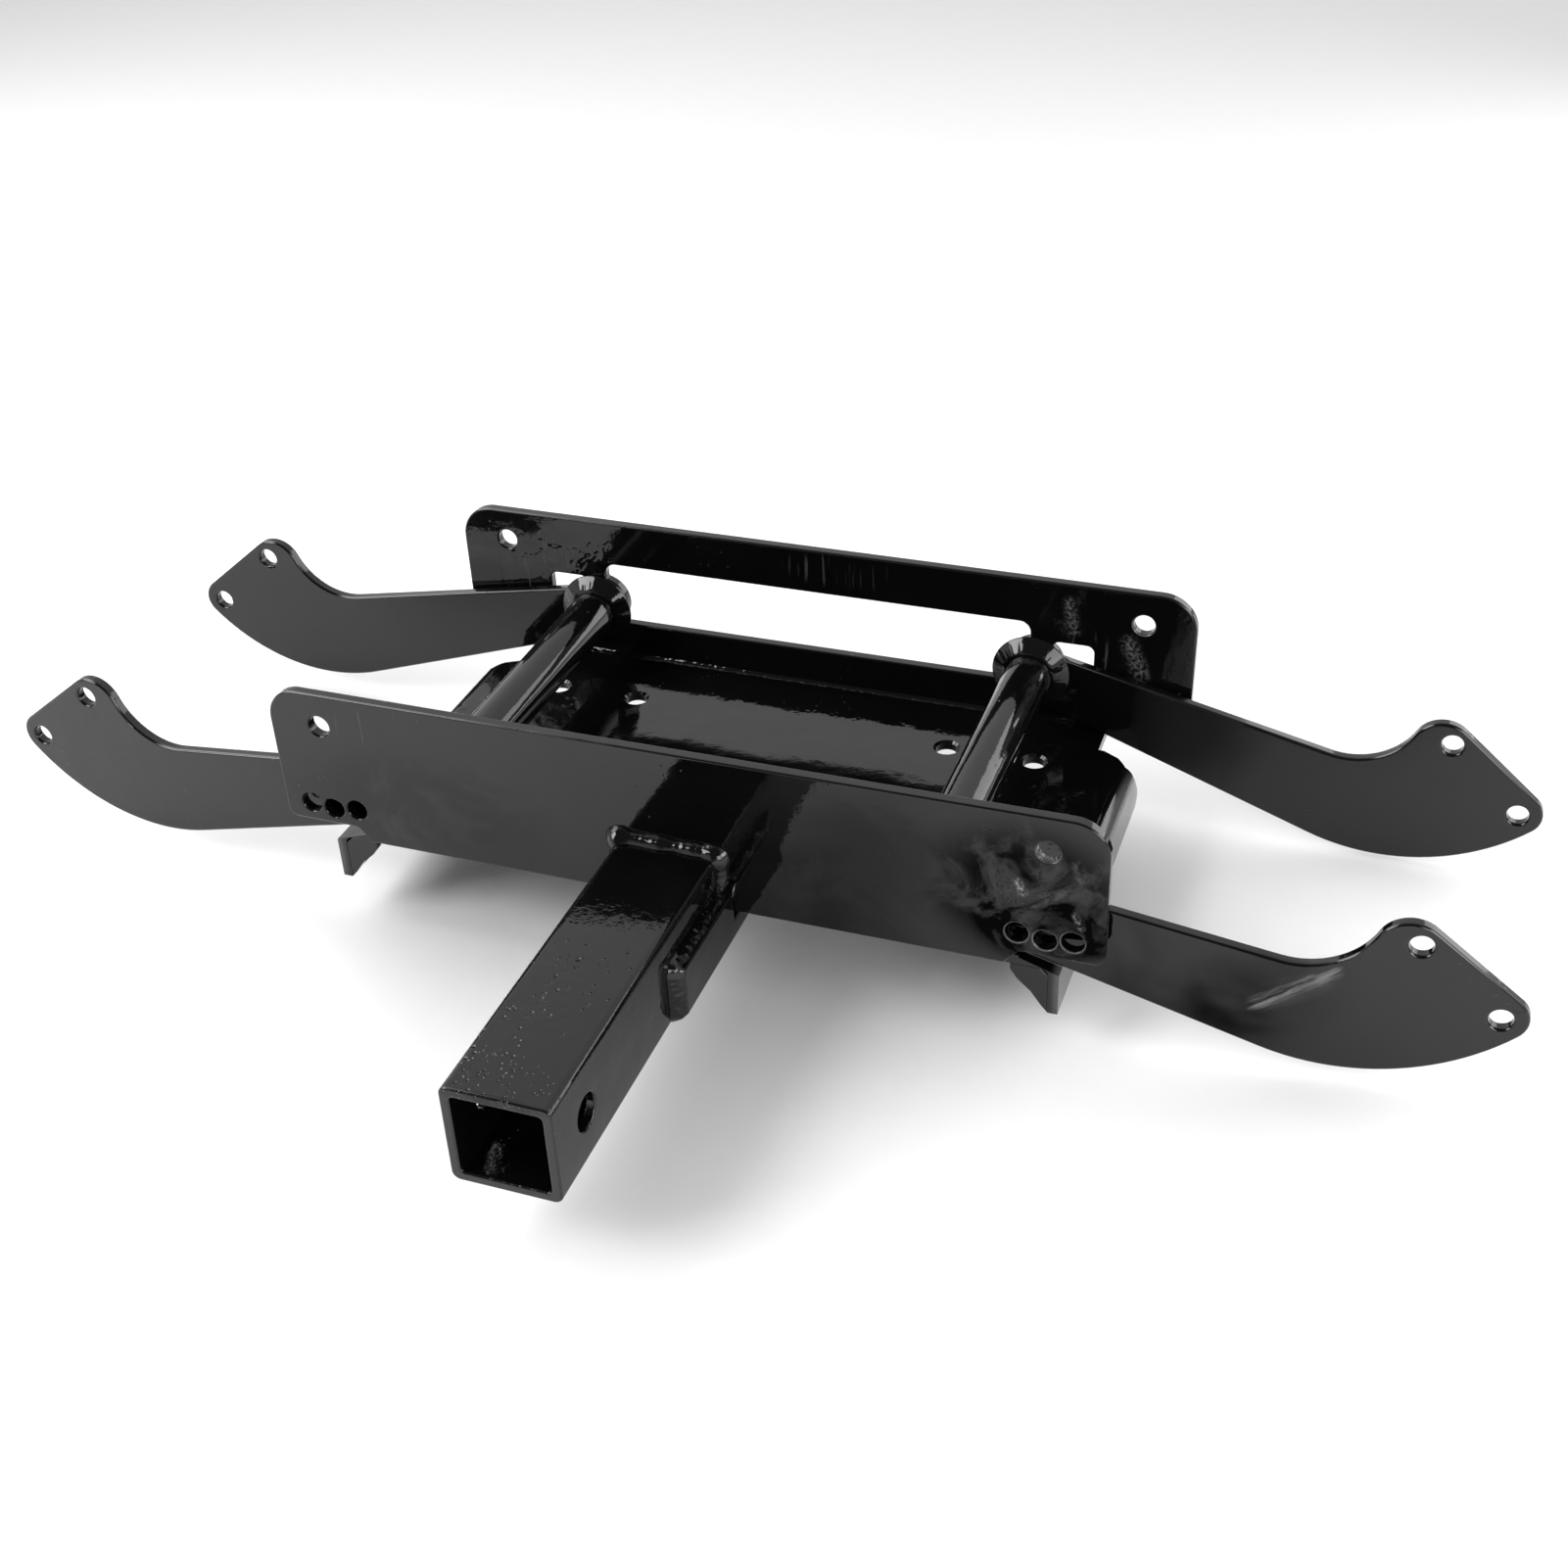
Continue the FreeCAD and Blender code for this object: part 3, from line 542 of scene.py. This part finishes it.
# Round each side bar, against the shank: a smooth wrap at its front end.
for name, side in (("right", 1), ("left", -1)):
    path = rounded([(FRONT - 1, RIB_TOP), (RIB_START, RIB_TOP), (RIB_START, RIB_FOOT),
                    (RIB_START + 7, RIB_FOOT)], 3.0)
    outward = [-n for n in normals_2d(path)]
    front = [max(0.0, n.x) for n in outward]
    bead(f"weld_rib_{name}", [Vector((side * SHANK_TOP, p.x, p.y)) for p in path],
         [Vector((side, 0, 0))] * len(path), [Vector((0, -n.x, -n.y)) for n in outward],
         (5.4, 4.2), weld_paint, seed=5 + side, bulge=0.10,
         ripple=[0.03 - 0.03 * f for f in front], swell=[1 + 0.30 * f for f in front],
         lumps=0.07)
    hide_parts(f"rib_weld_{name}")

# Along the tray floor at both plates.
for name, y, way in (("rear", REAR, -1), ("front", FRONT + PLATE_GAUGE, 1)):
    length = 2 * TRAY_WELD_HALF
    count = round(length / STEP)
    line = [Vector((-TRAY_WELD_HALF + length * i / count, y, FLOOR)) for i in range(count + 1)]
    bead(f"weld_tray_{name}", line, [Vector((0, way, 0))] * len(line),
         [Vector((0, 0, 1))] * len(line), (2.9, 2.3), paint, ripple=0.0, wander=0.06,
         bulge=-0.08, lumps=0.03, seed=9 + y)
    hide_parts(f"tray_{name}_weld")


# ---------------------------------------------------------------- studio
FLOOR_HEIGHT, FLOOR_HALF = -0.056, 12.0     # metres; just below the lowest arm tip
DARK_SIDE = (0.10, -0.64, 0.76)             # way towards the darker part of the surround


def studio_floor():
    """Plain pale floor under the object."""
    s = Shader("studio_floor")
    fine = s.noise(60, 3)
    tone = s.put("Mix", {"Factor": fine, 6: (0.87, 0.87, 0.87, 1), 7: (0.90, 0.90, 0.90, 1)},
                 output=2, data_type="RGBA")
    material = s.finish(Base_Color=tone, Roughness=0.9, Normal=s.bump(fine, 0.05, 0.0005))
    corners = [(x * FLOOR_HALF, y * FLOOR_HALF, FLOOR_HEIGHT)
               for x, y in ((-1, -1), (1, -1), (1, 1), (-1, 1))]
    mesh = bpy.data.meshes.new("floor")
    mesh.from_pydata(corners, [], [(0, 1, 2, 3)])
    floor = bpy.data.objects.new("floor", mesh)
    scene.collection.objects.link(floor)
    dress(floor, material)


def softbox(name, place, aim, width, depth, power):
    """Rectangular lamp turned towards its aim, in metres and watts."""
    data = bpy.data.lights.new(name, "AREA")
    data.shape = "RECTANGLE"
    data.size, data.size_y = width, depth
    data.energy = power
    lamp = bpy.data.objects.new(name, data)
    scene.collection.objects.link(lamp)
    lamp.location = place
    way = Vector(aim) - Vector(place)
    lamp.rotation_euler = way.to_track_quat("-Z", "Y").to_euler()


def studio_world():
    """Even white surround with a darker side behind the camera."""
    world = bpy.data.worlds.new("studio")
    scene.world = world
    world.use_nodes = True
    tree = world.node_tree
    back = tree.nodes["Background"]
    way = tree.nodes.new("ShaderNodeTexCoord")
    facing = tree.nodes.new("ShaderNodeVectorMath")
    facing.operation = "DOT_PRODUCT"
    facing.inputs[1].default_value = Vector(DARK_SIDE).normalized()
    tree.links.new(way.outputs["Generated"], facing.inputs[0])
    fall = tree.nodes.new("ShaderNodeMapRange")
    fall.interpolation_type = "SMOOTHSTEP"
    for key, number in (("From Min", 0.60), ("From Max", 0.84), ("To Min", 0.93), ("To Max", 0.10)):
        fall.inputs[key].default_value = number
    tree.links.new(facing.outputs["Value"], fall.inputs["Value"])
    tree.links.new(fall.outputs["Result"], back.inputs["Strength"])
    back.inputs["Color"].default_value = (1, 1, 1, 1)


studio_floor()
softbox("left_box", (-1.35, -0.75, 1.15), (0, 0, 0), 1.0, 1.0, 26)
softbox("right_box", (1.30, -0.95, 0.62), (0, 0.2, 0), 0.9, 0.7, 10)
softbox("side_box", (1.35, -0.1, 0.55), (0.13, 0.34, 0.03), 0.5, 0.5, 6)
softbox("rear_box", (1.0, 1.35, 0.45), (0.15, 0.25, 0), 1.2, 0.7, 6)
softbox("key", (-1.3, 0.5, 1.2), (0, 0.2, 0), 1.2, 1.2, 18)
studio_world()
scene.view_settings.view_transform = "Standard"


# ---------------------------------------------------------------- camera
def add_camera(target, distance, azimuth, elevation, roll, lens):
    """Camera looking at the target from the given angles in degrees; roll tilts it about its axis."""
    azimuth, elevation, roll = (math.radians(a) for a in (azimuth, elevation, roll))
    back = Vector((math.sin(azimuth) * math.cos(elevation),
                   -math.cos(azimuth) * math.cos(elevation), math.sin(elevation)))
    right = Vector((math.cos(azimuth), math.sin(azimuth), 0))
    up = back.cross(right)
    right, up = (right * math.cos(roll) + up * math.sin(roll),
                 up * math.cos(roll) - right * math.sin(roll))
    data = bpy.data.cameras.new("camera")
    data.lens = lens
    data.sensor_width = 36
    data.clip_start, data.clip_end = 0.05, 60
    camera = bpy.data.objects.new("camera", data)
    scene.collection.objects.link(camera)
    turn = Matrix((right, up, back)).transposed().to_4x4()
    camera.matrix_world = Matrix.Translation(Vector(target) + back * distance) @ turn
    scene.camera = camera


add_camera(target=(0.0179, 0.2598, -0.0062), distance=1.037, azimuth=21.16, elevation=33.77,
           roll=-2.56, lens=46.43)
